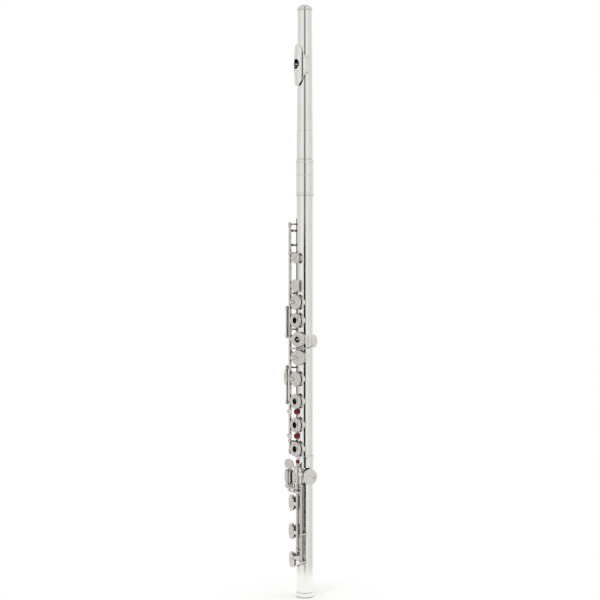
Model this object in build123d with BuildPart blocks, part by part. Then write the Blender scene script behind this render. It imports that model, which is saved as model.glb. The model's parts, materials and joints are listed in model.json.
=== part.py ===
from build123d import *
from collections import namedtuple
from math import cos, radians, sin
import os

# Concert flute with a low B foot, open-hole keys and an offset G.
# Millimetres. The tube runs along Z: foot end at Z = 0, crown at the top.
# The keys face -Y. The player's side, with the hinge rods, is -X.

# ---------------------------------------------------------------- driving dimensions
FOOT_SHOULDER = 158.0        # where the foot's bore widens into its socket
FOOT_TOP = 171.7             # rim of the foot's socket
BODY_BOTTOM = 158.8          # end of the body's lower tenon
BODY_TOP = 492.0
BARREL_BOTTOM = 488.0
BARREL_TOP = 531.0
TENON_END = 494.0            # lower end of the head joint's tenon
TENON_TOP = 566.0            # where the head tube starts to taper
HEAD_TOP = 713.0
CROWN_TOP = 720.0

BORE = 9.5                   # radius of the body's bore
TUBE = 9.9                   # outer radius of body and foot
SOCKET = 9.93                # bore of the barrel and of the foot's socket
SLEEVE = 10.45               # outer radius of the barrel and of the socket
RING = 10.9                  # outer radius of the joint rings
TENON = 9.88                 # outer radius of the head joint's tenon
HEAD_LOW = 9.6               # outer radius of the head tube above its tenon
HEAD_HIGH = 8.6              # outer radius of the head tube at the crown
HEAD_WALL = 0.4

RIM = 11.9                   # distance from the tube's axis to every tone-hole rim
CUP_SKIRT = 1.5              # lower edge of a closed cup above its rim
PAD_LIFT = 0.03              # underside of a closed pad above its rim
PAD_TOP = 3.3
CUP_ROOF = 3.35             # underside of a cup's roof
CUP_TOP = 4.0                # top of a cup above its rim
CUP_WALL = 0.45
ARM_LIFT = 2.6               # where the arms meet the cups, above the rim
FINGER_HOLE = 3.8            # radius of the hole in an open-hole key
GROMMET = 4.2                # outer radius of the bush around that hole

STEEL = 0.9                  # radius of a hinge steel
TUBE_BORE = 0.95             # bore of a key tube
KEY_TUBE = 1.7               # outer radius of a key tube
POST_BALL = 2.3              # radius of a post's head
POST_STEM = 1.0
POST_BORE = 0.94
RIB_TOP = 10.7               # outer radius of the ribs that carry the posts

STACK_ROD = (-11.7, -13.5)   # main hinge line, player's side
TRILL_ROD = (-15.2, -10.6)   # trill keys' hinge line
SIDE_ROD = (-19.3, -11.6)    # thumb keys and side lever
FOOT_ROD = (5.9, -15.4)      # D sharp, C sharp and C keys
LOW_ROD = (9.6, -12.8)       # low B key

STACK_OPEN = 6.0             # degrees that a stack key swings from closed to rest
OFFSET_OPEN = 4.5            # the same for the offset G keys
THUMB_OPEN = 6.0
FOOT_OPEN = 8.5
LOW_OPEN = 6.12
SET = -8.5                   # degrees that the head and foot joints are turned on the body

STACK_POSTS = [418.0, 369.0, 325.0, 272.5, 176.0]
TRILL_POSTS = [453.2, 188.5]
SIDE_POSTS = [351.0, 317.0, 278.5, 236.0]
POST_LENGTH = 3.0
TRILL_TOUCHES = [225.2, 195.7]   # heights of the D and D sharp trill touches
FELT_TOP = 14.3              # top of the trill felts, from the tube's axis
FELT = 3.2                   # radius of the trill felts
C_TOUCH = 378.0              # height of the C key's touch
SPRING = 0.3                 # radius of a needle spring

Cup = namedtuple("Cup", "height bearing radius hole chimney")
LARGE = (9.2, 6.8, 7.4)      # cup, tone hole and chimney radius on the body
SMALL = (5.8, 3.3, 3.9)
FOOT_SIZE = (9.9, 7.6, 8.2)

DS_TRILL = Cup(445.6, -116.0, *SMALL)
D_TRILL = Cup(428.0, -116.0, *SMALL)
C_VENT = Cup(411.5, 0.0, 6.5, 3.9, 4.5)
THUMB_B = Cup(379.0, -134.0, 8.6, 6.2, 6.8)
B_FLAT = Cup(358.0, 0.0, *LARGE)
A_CUP = Cup(336.0, 0.0, *LARGE)
G_CUP = Cup(313.0, 15.0, *LARGE)
LOWER_G = Cup(291.0, 15.0, *LARGE)
G_SHARP = Cup(291.0, -125.0, *LARGE)
F_SHARP = Cup(265.0, 0.0, *LARGE)
F_CUP = Cup(238.0, 0.0, *LARGE)
E_CUP = Cup(209.5, 0.0, *LARGE)
D_CUP = Cup(180.3, 0.0, *LARGE)
BODY_CUPS = [DS_TRILL, D_TRILL, C_VENT, THUMB_B, B_FLAT, A_CUP, G_CUP, LOWER_G,
             G_SHARP, F_SHARP, F_CUP, E_CUP, D_CUP]

D_SHARP = Cup(147.0, 78.0, 9.4, 6.7, 7.3)
LOW_CS = Cup(114.4, -30.0, *FOOT_SIZE)
LOW_C = Cup(79.7, -30.0, *FOOT_SIZE)
LOW_B = Cup(45.4, -30.0, *FOOT_SIZE)
FOOT_CUPS = [D_SHARP, LOW_CS, LOW_C, LOW_B]

EMBOUCHURE = 646.8           # height of the embouchure hole's centre
MOUTH_LONG = 6.1             # half length of the embouchure hole, along the tube
MOUTH_WIDE = 5.1             # half width, across the tube
RISER_WALL = 0.8
RISER_DEEP = 6.0             # depth of the riser's stock below the plate's face, before the head trims it
PLATE_AXIS = 3.7             # how far the lip plate's centre line lies before the tube's
PLATE_RADIUS = 10.2          # crown of the lip plate from that line
PLATE_END = 8.9              # the same at the plate's two ends
PLATE_THICK = 0.7
PLATE_HALF = 25.3            # half length of the lip plate
PLATE_ACROSS = 10.0          # half width of the lip plate, seen from the front
PLATE_CENTRE = 645.5

REST = Location((0, 0, 0))


# ---------------------------------------------------------------- placing
def around(bearing, radius, height=0.0):
    """Point on a circle round the tube. Bearing 0 is -Y, +90 is +X."""
    turn = radians(bearing)
    return Vector(radius * sin(turn), -radius * cos(turn), height)


def facing(bearing, radius, height):
    """Plane square to the tube's radius, looking outwards, with Y up the tube."""
    turn = radians(bearing)
    return Plane(around(bearing, radius, height),
                 x_dir=(cos(turn), sin(turn), 0), z_dir=(sin(turn), -cos(turn), 0))


def swing(rod, angle):
    """Turn about a hinge rod, from a key's closed place to its rest."""
    x, y = rod
    return Location((x, y, 0)) * Location((0, 0, 0), (0, 0, angle)) * Location((-x, -y, 0))


def posed(pose, place):
    """A plane carried by a key as it swings."""
    return Plane(pose * place.location)


def beside(cup, across, out):
    """Point of the cross-section near a cup: across it, and out from its rim."""
    turn = radians(cup.bearing)
    spot = around(cup.bearing, RIM + out)
    return (spot.X + across * cos(turn), spot.Y + across * sin(turn))


# ---------------------------------------------------------------- shapes added to an open part
def column(centre, low, high, radius, mode=Mode.ADD, pose=REST):
    """Round bar along Z."""
    with BuildSketch(posed(pose, Plane((centre[0], centre[1], low)))) as section:
        Circle(radius)
    extrude(section.sketch, amount=high - low, mode=mode)


def lathe(points, bearing=0.0, across=0.0, mode=Mode.ADD):
    """Solid turned about a line along Z that stands off the tube's axis."""
    foot = around(bearing, across)
    with BuildSketch(Plane(foot, x_dir=(1, 0, 0), z_dir=(0, -1, 0))) as section:
        with BuildLine():
            Polyline(*points, close=True)
        make_face()
    revolve(section.sketch, axis=Axis(foot, (0, 0, 1)), mode=mode)


def disc(place, points, mode=Mode.ADD):
    """Solid turned about the normal of a plane from (radius, height) points."""
    upright = Plane(place.origin, x_dir=place.x_dir, z_dir=-place.y_dir)
    with BuildSketch(upright) as section:
        with BuildLine():
            Polyline(*points, close=True)
        make_face()
    revolve(section.sketch, axis=Axis(place.origin, place.z_dir), mode=mode)


def cup_shell(pose, cup, open_hole=False):
    """Key cup: a shallow dish with a rolled edge, roof up."""
    r = cup.radius
    skirt = [(r - CUP_WALL, CUP_SKIRT), (r, CUP_SKIRT), (r, CUP_TOP - 0.6), (r - 0.25, CUP_TOP - 0.15),
             (r - 0.7, CUP_TOP)]
    if open_hole:
        middle = [(GROMMET + 1.6, CUP_TOP), (GROMMET + 1.2, CUP_TOP + 0.5), (GROMMET, CUP_TOP + 0.55),
                  (FINGER_HOLE, CUP_TOP + 0.3), (FINGER_HOLE, CUP_SKIRT), (GROMMET, CUP_SKIRT),
                  (GROMMET, CUP_ROOF)]
    else:
        middle = [(r * 0.62, CUP_TOP), (r * 0.56, CUP_TOP - 0.25), (r * 0.24, CUP_TOP - 0.25),
                  (r * 0.18, CUP_TOP + 0.1), (0, CUP_TOP + 0.2), (0, CUP_ROOF)]
    disc(posed(pose, facing(cup.bearing, RIM, cup.height)), skirt + middle + [(r - CUP_WALL, CUP_ROOF)])


def pad_body(pose, cup, open_hole=False):
    """Felt pad in its skin, with a soft lower edge."""
    r = cup.radius - CUP_WALL - 0.05
    edge = [(r - 0.5, PAD_LIFT), (r, PAD_LIFT + 0.45), (r, PAD_TOP)]
    if open_hole:
        points = [(GROMMET + 0.05, PAD_LIFT)] + edge + [(GROMMET + 0.05, PAD_TOP)]
    else:
        points = [(0, PAD_LIFT)] + edge + [(0, PAD_TOP)]
    disc(posed(pose, facing(cup.bearing, RIM, cup.height)), points)


def blade(pose, start, end, heights, wide, narrow, thick=1.3):
    """Tapering arm between two points of the cross-section, heights along the tube."""
    first = Vector(start[0], start[1], heights[0])
    last = Vector(end[0], end[1], heights[1])
    flat = Vector(last.X - first.X, last.Y - first.Y, 0)
    with BuildSketch(posed(pose, Plane(first, x_dir=(0, 0, 1), z_dir=flat))) as root:
        RectangleRounded(wide, thick, thick * 0.3)
    with BuildSketch(posed(pose, Plane(last, x_dir=(0, 0, 1), z_dir=flat))) as tip:
        RectangleRounded(narrow, thick * 0.85, thick * 0.25)
    loft([root.sketch, tip.sketch])


def wand(pose, points, radius):
    """Curved round arm through points in space."""
    with BuildLine() as path:
        Spline(*points)
    with BuildSketch(path.line ^ 0) as section:
        Circle(radius)
    bent = sweep(section.sketch, path=path.line, mode=Mode.PRIVATE)
    add(pose * bent)


def leaf(pose, place, long, wide, thick, soften=0.45):
    """Oval touch piece with a softened face, lying on a plane."""
    with BuildSketch(posed(pose, place)) as outline:
        Ellipse(long, wide)
    extrude(outline.sketch, amount=thick - soften)
    with BuildSketch(posed(pose, place.offset(thick - soften))) as shoulder:
        Ellipse(long, wide)
    with BuildSketch(posed(pose, place.offset(thick))) as face:
        Ellipse(long - soften, wide - soften)
    loft([shoulder.sketch, face.sketch])


def edge_arm(pose, rod, cup, at, wide=6.0, narrow=3.4, side=-1, bite=0.3):
    """Arm from the key tube to the edge of a cup, biting a little into its wall."""
    edge = beside(cup, side * (cup.radius - bite), ARM_LIFT)
    blade(pose, rod, edge, (at, at), wide, narrow)


def pointed_arm(pose, rod, cup, at):
    """French arm: a long point from the key tube across the cup to its middle."""
    knee = beside(cup, -(cup.radius + 0.2), CUP_TOP + 0.25)
    tip = beside(cup, 0.3, CUP_TOP + 0.25)
    blade(pose, rod, knee, (at, at), 6.4, 4.6)
    blade(pose, knee, tip, (at, cup.height), 4.6, 1.3, thick=1.1)


def key_tube(rod, low, high, radius=KEY_TUBE):
    """Key tube with a bead turned at each end."""
    column(rod, low, high, radius)
    column(rod, low, low + 1.0, radius + 0.25)
    column(rod, high - 1.0, high, radius + 0.25)


def ream(rod, low, high, radius=TUBE_BORE):
    """Bore of a key tube, cut after its arms are on."""
    column(rod, low - 0.5, high + 0.5, radius, mode=Mode.SUBTRACT)


def tone_holes(cups):
    """Chimneys drawn up out of the tube, before the bore is cut."""
    for cup in cups:
        with BuildSketch(facing(cup.bearing, RIM, cup.height)) as chimney:
            Circle(cup.chimney)
        extrude(chimney.sketch, amount=-(RIM - 4.0))
        with BuildSketch(facing(cup.bearing, RIM - 0.5, cup.height)) as lip:
            Circle(cup.chimney + 0.25)
        extrude(lip.sketch, amount=0.5)


def drill_tone_holes(cups):
    for cup in cups:
        with BuildSketch(facing(cup.bearing, RIM + 0.5, cup.height)) as hole:
            Circle(cup.hole)
        extrude(hole.sketch, amount=-(RIM - 3.0), mode=Mode.SUBTRACT)


def post(rod, height, base, bend=None):
    """Post: a turned stem from a rib up to a ball-shaped head on the hinge line."""
    foot = Vector(base.X, base.Y, height)
    head = Vector(rod[0], rod[1], height)
    corner = Vector(bend[0], bend[1], height) if bend else None
    stops = [foot, corner, head] if bend else [foot, head]
    for lower, upper in zip(stops, stops[1:]):
        with BuildSketch(Plane(lower, z_dir=upper - lower)) as root:
            Circle(POST_STEM)
        extrude(root.sketch, amount=(upper - lower).length)
    if bend:
        with Locations(corner):
            Sphere(POST_STEM)
    half = POST_LENGTH / 2
    shoulder = POST_BALL - 0.5
    head_points = [(0, -half), (shoulder, -half), (POST_BALL, -half + 0.7), (POST_BALL, half - 0.7),
                   (shoulder, half), (0, half)]
    disc(Plane(head, x_dir=(1, 0, 0), z_dir=(0, 0, 1)), head_points)


def screw_end(rod, height, outward):
    """Pivot screw: pin through the post with a round head outside it."""
    face = height + outward * POST_LENGTH / 2
    tip = height - outward * (POST_LENGTH / 2 - 0.6)
    column(rod, min(tip, face), max(tip, face), STEEL)
    column(rod, min(face, face + outward), max(face, face + outward), 1.6)


def rib(low, high, first, last):
    """Strap soldered along the tube between two bearings."""
    turn = (first + last) / 2
    with BuildSketch(Plane.XY.offset(low)) as strap:
        Circle(RIB_TOP)
        Circle(TUBE + 0.02, mode=Mode.SUBTRACT)
        with BuildLine():
            Polyline((0, 0), tuple(around(first, 30.0))[:2], tuple(around(turn, 32.0))[:2],
                     tuple(around(last, 30.0))[:2], close=True)
        make_face(mode=Mode.INTERSECT)
    extrude(strap.sketch, amount=high - low)


def finish(piece, name, turn=0.0):
    """Turn the finished piece on the tube's axis, name it and write it out."""
    placed = piece.part.rotate(Axis.Z, turn)
    placed.label = name
    export_step(placed, f"parts/{name}.step")


def pad_for(name, pose, cup, open_hole=False, turn=0.0):
    """The pad of one cup, as its own piece."""
    with BuildPart() as pad:
        pad_body(pose, cup, open_hole)
    finish(pad, name, turn)


os.makedirs("parts", exist_ok=True)

# ---------------------------------------------------------------- body joint
with BuildPart() as body_tube:
    column((0, 0), BODY_BOTTOM, BODY_TOP, TUBE)
    tone_holes(BODY_CUPS)
    column((0, 0), BODY_BOTTOM, BODY_TOP, BORE, mode=Mode.SUBTRACT)
    drill_tone_holes(BODY_CUPS)
finish(body_tube, "body_tube")

with BuildPart() as barrel:
    lathe([(SOCKET, BARREL_BOTTOM), (RING, BARREL_BOTTOM), (RING, 490.2), (SLEEVE, 490.8), (SLEEVE, 511.6),
           (RING - 0.1, 512.2), (RING - 0.1, 513.8), (SLEEVE, 514.4), (SLEEVE, 527.6), (RING, 528.4),
           (RING, 530.4), (RING - 0.4, BARREL_TOP), (SOCKET, BARREL_TOP)])
finish(barrel, "barrel")

with BuildPart() as body_rib:
    rib(174.0, 460.0, -50.5, -65.0)
finish(body_rib, "body_rib")

with BuildPart() as body_posts:
    for level in STACK_POSTS:
        post(STACK_ROD, level, around(-56.0, 10.55))
    for level in TRILL_POSTS:
        post(TRILL_ROD, level, around(-60.0, 10.55))
    for level in SIDE_POSTS:
        post(SIDE_ROD, level, around(-61.0, 10.6), bend=(-18.4, -8.2))
    ream(STACK_ROD, STACK_POSTS[-1] - 2, STACK_POSTS[0] + 2, POST_BORE)
    ream(TRILL_ROD, TRILL_POSTS[-1] - 2, TRILL_POSTS[0] + 2, POST_BORE)
    ream(SIDE_ROD, SIDE_POSTS[-1] - 2, SIDE_POSTS[0] + 2, POST_BORE)
finish(body_posts, "body_posts")

with BuildPart() as hinge_steels:
    column(STACK_ROD, STACK_POSTS[1] - 0.8, STACK_POSTS[0] - 1.2, STEEL)
    column(STACK_ROD, STACK_POSTS[2] + 0.3, STACK_POSTS[1] - 1.0, STEEL)
    column(STACK_ROD, STACK_POSTS[4] + 1.2, STACK_POSTS[3] - 0.3, STEEL)
    column(SIDE_ROD, SIDE_POSTS[1] + 1.2, SIDE_POSTS[0] - 1.2, STEEL)
    column(SIDE_ROD, SIDE_POSTS[3] + 1.2, SIDE_POSTS[2] - 1.2, STEEL)
finish(hinge_steels, "hinge_steels")

with BuildPart() as pivot_screws:
    screw_end(STACK_ROD, STACK_POSTS[0], 1)
    screw_end(STACK_ROD, STACK_POSTS[4], -1)
    screw_end(TRILL_ROD, TRILL_POSTS[0], 1)
    screw_end(TRILL_ROD, TRILL_POSTS[1], -1)
    screw_end(SIDE_ROD, SIDE_POSTS[0], 1)
    screw_end(SIDE_ROD, SIDE_POSTS[1], -1)
    screw_end(SIDE_ROD, SIDE_POSTS[2], 1)
    screw_end(SIDE_ROD, SIDE_POSTS[3], -1)
finish(pivot_screws, "pivot_screws")

with BuildPart() as needle_springs:
    for level, length in zip(STACK_POSTS, (18.0, 15.0, 14.0, 16.0, 17.0)):
        reach = length if level == STACK_POSTS[-1] else -length
        ends = sorted((level, level + reach))
        column((-11.0, -10.9), ends[0], ends[1], SPRING)
    column((-11.6, -7.4), TRILL_POSTS[0] - 25.0, TRILL_POSTS[0], SPRING)
finish(needle_springs, "needle_springs")

with BuildPart() as trill_felts:
    for level in TRILL_TOUCHES:
        with BuildSketch(facing(-12.0, FELT_TOP, level)) as felt:
            Circle(FELT)
        extrude(felt.sketch, amount=-7.0)
    column((0, 0), 180.0, 240.0, TUBE + 0.03, mode=Mode.SUBTRACT)
finish(trill_felts, "trill_felts")


# ---------------------------------------------------------------- head joint
def head_radius(height):
    """Outer radius of the tapering head tube."""
    return HEAD_LOW - (HEAD_LOW - HEAD_HIGH) * (height - TENON_TOP) / (HEAD_TOP - TENON_TOP)


def mouth_prism(wide, long, depth, mode):
    """Oval prism along the embouchure hole's axis."""
    with BuildSketch(facing(0, 15.0, EMBOUCHURE)) as oval:
        Ellipse(wide, long)
    extrude(oval.sketch, amount=-depth, mode=mode)


def plate_form(outer_drop, inner_drop):
    """Barrel-shaped wall of the lip plate, between two depths below its face."""
    foot = around(0, PLATE_AXIS, PLATE_CENTRE)
    with BuildSketch(Plane(foot, x_dir=(1, 0, 0), z_dir=(0, -1, 0))) as wall:
        with BuildLine():
            end, crown = PLATE_END - outer_drop, PLATE_RADIUS - outer_drop
            ThreePointArc((end, -PLATE_HALF), (crown, 0), (end, PLATE_HALF))
            low_end, low_crown = PLATE_END - inner_drop, PLATE_RADIUS - inner_drop
            Line((end, PLATE_HALF), (low_end, PLATE_HALF))
            ThreePointArc((low_end, PLATE_HALF), (low_crown, 0), (low_end, -PLATE_HALF))
            Line((low_end, -PLATE_HALF), (end, -PLATE_HALF))
        make_face()
    revolve(wall.sketch, axis=Axis(foot, (0, 0, 1)))


def trim_to_head():
    """Cut away what would lie inside the head tube."""
    lathe([(0, 600), (head_radius(600) + 0.02, 600), (head_radius(700) + 0.02, 700), (0, 700)],
          mode=Mode.SUBTRACT)


with BuildPart() as head_tube:
    lathe([(TENON - HEAD_WALL, TENON_END), (TENON, TENON_END), (TENON, TENON_TOP - 0.1),
           (HEAD_LOW, TENON_TOP), (HEAD_HIGH, HEAD_TOP), (HEAD_HIGH - HEAD_WALL, HEAD_TOP),
           (HEAD_LOW - HEAD_WALL, TENON_TOP)])
    mouth_prism(MOUTH_WIDE, MOUTH_LONG, 12.0, Mode.SUBTRACT)
finish(head_tube, "head_tube", SET)

with BuildPart() as lip_plate:
    plate_form(0, PLATE_THICK)
    with BuildSketch(facing(0, 0, PLATE_CENTRE)):
        Ellipse(PLATE_ACROSS, PLATE_HALF - 0.2)
    extrude(amount=20.0, mode=Mode.INTERSECT)
    trim_to_head()
    mouth_prism(MOUTH_WIDE + RISER_WALL, MOUTH_LONG + RISER_WALL, 12.0, Mode.SUBTRACT)
finish(lip_plate, "lip_plate", SET)

with BuildPart() as riser:
    plate_form(0, RISER_DEEP)
    mouth_prism(MOUTH_WIDE + RISER_WALL - 0.02, MOUTH_LONG + RISER_WALL - 0.02, 12.0, Mode.INTERSECT)
    trim_to_head()
    mouth_prism(MOUTH_WIDE, MOUTH_LONG, 12.0, Mode.SUBTRACT)
finish(riser, "riser", SET)

with BuildPart() as crown:
    with BuildSketch(Plane.XZ):
        with BuildLine():
            Line((0, 718.0), (0, CROWN_TOP))
            ThreePointArc((0, CROWN_TOP), (5.2, 719.1), (8.7, 716.4))
            ThreePointArc((8.7, 716.4), (9.5, 714.9), (8.8, 713.2))
            Polyline((8.8, 713.2), (8.1, 713.1), (8.1, 709.5), (1.65, 709.5), (1.65, 718.0), (0, 718.0))
        make_face()
    revolve(axis=Axis.Z)
finish(crown, "crown")

with BuildPart() as stopper_screw:
    column((0, 0), 662.6, 664.0, 8.2)
    column((0, 0), 662.6, 716.0, 1.5)
finish(stopper_screw, "stopper_screw")

with BuildPart() as stopper_cork:
    lathe([(1.55, 664.1), (7.9, 664.1), (8.33, 664.6), (8.33, 680.5), (7.9, 681.0), (1.55, 681.0)])
finish(stopper_cork, "stopper_cork")

with BuildPart() as stopper_nut:
    lathe([(1.55, 681.1), (7.9, 681.1), (7.9, 682.2), (3.4, 682.6), (3.2, 684.4), (1.55, 684.4)])
finish(stopper_nut, "stopper_nut")

# ---------------------------------------------------------------- trill keys
def trill_touch(height):
    """Bent arm over the stack's tubes, and the round touch at its end."""
    stops = [TRILL_ROD, (-15.6, -14.6), (-13.0, -17.1), (-8.0, -17.1)]
    for start, end in zip(stops, stops[1:]):
        blade(REST, start, end, (height, height), 3.0, 3.0, thick=1.2)
    face = facing(-20.0, 1.0, height)
    leaf(REST, Plane((-7.6, -16.6, height), x_dir=face.x_dir, z_dir=face.z_dir), 3.2, 3.7, 1.5, soften=0.6)


with BuildPart() as ds_trill_key:
    key_tube(TRILL_ROD, 437.3, 451.4)
    key_tube(TRILL_ROD, 190.3, 219.4)
    column(TRILL_ROD, TRILL_POSTS[1] + 1.2, TRILL_POSTS[0] - 1.2, STEEL)
    cup_shell(REST, DS_TRILL)
    edge_arm(REST, TRILL_ROD, DS_TRILL, DS_TRILL.height, 3.4, 2.6, side=1)
    trill_touch(TRILL_TOUCHES[1])
finish(ds_trill_key, "ds_trill_key")
pad_for("ds_trill_pad", REST, DS_TRILL)

with BuildPart() as d_trill_key:
    key_tube(TRILL_ROD, 219.7, 437.0)
    cup_shell(REST, D_TRILL)
    edge_arm(REST, TRILL_ROD, D_TRILL, D_TRILL.height, 3.4, 2.6, side=1)
    trill_touch(TRILL_TOUCHES[0])
    ream(TRILL_ROD, 219.7, 437.0)
finish(d_trill_key, "d_trill_key")
pad_for("d_trill_pad", REST, D_TRILL)

# ---------------------------------------------------------------- left-hand keys
STACK_POSE = swing(STACK_ROD, -STACK_OPEN)
OFFSET_POSE = swing(STACK_ROD, -OFFSET_OPEN)
THUMB_POSE = swing(SIDE_ROD, THUMB_OPEN)

with BuildPart() as c_key:
    key_tube(STACK_ROD, 370.8, 416.2)
    column(STACK_ROD, 397.5, 399.5, KEY_TUBE + 0.25)
    cup_shell(STACK_POSE, C_VENT)
    edge_arm(STACK_POSE, STACK_ROD, C_VENT, C_VENT.height, 4.6, 2.8)
    blade(STACK_POSE, STACK_ROD, (-5.0, -15.1), (C_TOUCH, C_TOUCH), 6.5, 4.5)
    disc(posed(STACK_POSE, facing(0, 14.5, C_TOUCH)),
         [(0, 0), (6.9, 0), (7.7, 0.5), (7.7, 1.0), (7.2, 1.4), (5.6, 1.4), (5.0, 1.15), (0, 1.0)])
    ream(STACK_ROD, 370.8, 416.2)
finish(c_key, "c_key")
pad_for("c_pad", STACK_POSE, C_VENT)

with BuildPart() as thumb_b_key:
    key_tube(SIDE_ROD, 332.3, 349.2)
    cup_shell(THUMB_POSE, THUMB_B)
    wand(THUMB_POSE, [(-19.3, -11.6, 344), (-21.0, -3.0, 350), (-19.6, 0.8, 363), (-16.96, 3.32, 380)], 1.1)
    leaf(THUMB_POSE, Plane((-21.4, -3.6, 340), x_dir=(-0.14, 0.99, 0), z_dir=(-0.99, -0.14, 0)), 8.2, 6.6, 1.2)
    ream(SIDE_ROD, 332.3, 349.2)
finish(thumb_b_key, "thumb_b_key")
pad_for("thumb_b_pad", THUMB_POSE, THUMB_B)

with BuildPart() as thumb_bb_lever:
    key_tube(SIDE_ROD, 318.8, 332.0)
    leaf(THUMB_POSE, Plane((-21.2, -4.8, 325.4), x_dir=(-0.14, 0.99, 0), z_dir=(-0.99, -0.14, 0)), 6.6, 5.4, 1.2)
    ream(SIDE_ROD, 318.8, 332.0)
finish(thumb_bb_lever, "thumb_bb_lever")

with BuildPart() as side_bb_lever:
    key_tube(SIDE_ROD, 237.8, 276.7, 1.4)
    blade(REST, SIDE_ROD, (-14.2, -15.6), (268.0, 268.0), 4.0, 2.4, thick=1.1)
    leaf(REST, Plane((-19.9, -13.0, 266.4), x_dir=(0, 0, 1), z_dir=(0.56, -0.83, 0)), 9.5, 2.4, 1.1)
    ream(SIDE_ROD, 237.8, 276.7)
finish(side_bb_lever, "side_bb_lever")

with BuildPart() as b_flat_key:
    key_tube(STACK_ROD, 347.2, 367.2)
    cup_shell(STACK_POSE, B_FLAT)
    pointed_arm(STACK_POSE, STACK_ROD, B_FLAT, B_FLAT.height)
    ream(STACK_ROD, 347.2, 367.2)
finish(b_flat_key, "b_flat_key")
pad_for("b_flat_pad", STACK_POSE, B_FLAT)

with BuildPart() as a_key:
    key_tube(STACK_ROD, 326.8, 346.9)
    cup_shell(STACK_POSE, A_CUP, open_hole=True)
    edge_arm(STACK_POSE, STACK_ROD, A_CUP, A_CUP.height)
    ream(STACK_ROD, 326.8, 346.9)
finish(a_key, "a_key")
pad_for("a_pad", STACK_POSE, A_CUP, open_hole=True)

with BuildPart() as g_key:
    key_tube(STACK_ROD, 306.1, 323.2)
    cup_shell(OFFSET_POSE, G_CUP, open_hole=True)
    edge_arm(OFFSET_POSE, STACK_ROD, G_CUP, G_CUP.height, bite=0.1)
    ream(STACK_ROD, 306.1, 323.2, TUBE_BORE - 0.02)
finish(g_key, "g_key")
pad_for("g_pad", OFFSET_POSE, G_CUP, open_hole=True)

with BuildPart() as lower_g_key:
    key_tube(STACK_ROD, 274.3, 297.0)
    cup_shell(OFFSET_POSE, LOWER_G)
    pointed_arm(OFFSET_POSE, STACK_ROD, LOWER_G, LOWER_G.height)
    ream(STACK_ROD, 274.3, 297.0, TUBE_BORE - 0.02)
finish(lower_g_key, "lower_g_key")
pad_for("lower_g_pad", OFFSET_POSE, LOWER_G)

with BuildPart() as g_steel:
    column(STACK_ROD, STACK_POSTS[3] + 0.3, STACK_POSTS[2] - 0.3, STEEL)
finish(g_steel, "g_steel")

with BuildPart() as g_sharp_key:
    key_tube(STACK_ROD, 297.3, 305.8)
    cup_shell(REST, G_SHARP)
    wand(REST, [(-11.7, -13.5, 299.6), (-12.5, -8.6, 297), (-15.0, -4.2, 294), (-17.53, 0.25, 291.8)], 0.9)
    wand(REST, [(-11.7, -13.5, 302.0), (-8.2, -15.5, 302.0), (0.0, -14.9, 302.0), (7.0, -12.4, 302.0),
                (12.9, -8.0, 302.6), (17.1, -3.1, 306.0)], 1.0)
    leaf(REST, facing(86.0, 17.2, 311.0).rotated((0, 0, -20)), 3.7, 8.0, 1.3)
    ream(STACK_ROD, 297.3, 305.8)
finish(g_sharp_key, "g_sharp_key")
pad_for("g_sharp_pad", REST, G_SHARP)

# ---------------------------------------------------------------- right-hand keys
with BuildPart() as f_sharp_key:
    key_tube(STACK_ROD, 253.8, 270.7)
    cup_shell(STACK_POSE, F_SHARP)
    pointed_arm(STACK_POSE, STACK_ROD, F_SHARP, F_SHARP.height)
    ream(STACK_ROD, 253.8, 270.7)
finish(f_sharp_key, "f_sharp_key")
pad_for("f_sharp_pad", STACK_POSE, F_SHARP)

with BuildPart() as f_key:
    key_tube(STACK_ROD, 226.8, 253.5)
    cup_shell(STACK_POSE, F_CUP, open_hole=True)
    edge_arm(STACK_POSE, STACK_ROD, F_CUP, F_CUP.height)
    ream(STACK_ROD, 226.8, 253.5)
finish(f_key, "f_key")
pad_for("f_pad", STACK_POSE, F_CUP, open_hole=True)

with BuildPart() as e_key:
    key_tube(STACK_ROD, 197.6, 226.5)
    cup_shell(STACK_POSE, E_CUP, open_hole=True)
    edge_arm(STACK_POSE, STACK_ROD, E_CUP, E_CUP.height)
    ream(STACK_ROD, 197.6, 226.5)
finish(e_key, "e_key")
pad_for("e_pad", STACK_POSE, E_CUP, open_hole=True)

with BuildPart() as d_key:
    key_tube(STACK_ROD, 177.8, 197.3)
    cup_shell(STACK_POSE, D_CUP, open_hole=True)
    edge_arm(STACK_POSE, STACK_ROD, D_CUP, D_CUP.height + 3.0)
    ream(STACK_ROD, 177.8, 197.3)
finish(d_key, "d_key")
pad_for("d_pad", STACK_POSE, D_CUP, open_hole=True)

# ---------------------------------------------------------------- foot joint
FOOT_POSE = swing(FOOT_ROD, FOOT_OPEN)
LOW_POSE = swing(LOW_ROD, LOW_OPEN)
FOOT_POSTS = [161.0, 59.2]
LOW_POSTS = [136.5, 77.8, 44.3]
TOUCH_TOP = 154.4
TOUCH_LOW = 136.4
TOUCH_BAR = -12.3            # how far forward the bars under the rollers stand
ROLLER_LINE = -15.2
C_ROLLER_X = -9.7
B_ROLLER_X = -14.2
ROLLER = 1.9


def roller_frame(across, low):
    """Bar with two lugs and a pin that carries a roller in front of it."""
    with BuildSketch(Plane((across, TOUCH_BAR, low))) as bar:
        RectangleRounded(2.4, 1.2, 0.3)
    extrude(bar.sketch, amount=TOUCH_TOP - low)
    for level in (TOUCH_LOW, TOUCH_TOP - 1.8):
        with BuildSketch(Plane((across, (TOUCH_BAR + ROLLER_LINE) / 2, level))) as lug:
            RectangleRounded(2.0, ROLLER_LINE * -1 + TOUCH_BAR + 1.6, 0.8)
        extrude(lug.sketch, amount=1.8)
    column((across, ROLLER_LINE), TOUCH_LOW, TOUCH_TOP, 0.55)


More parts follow.
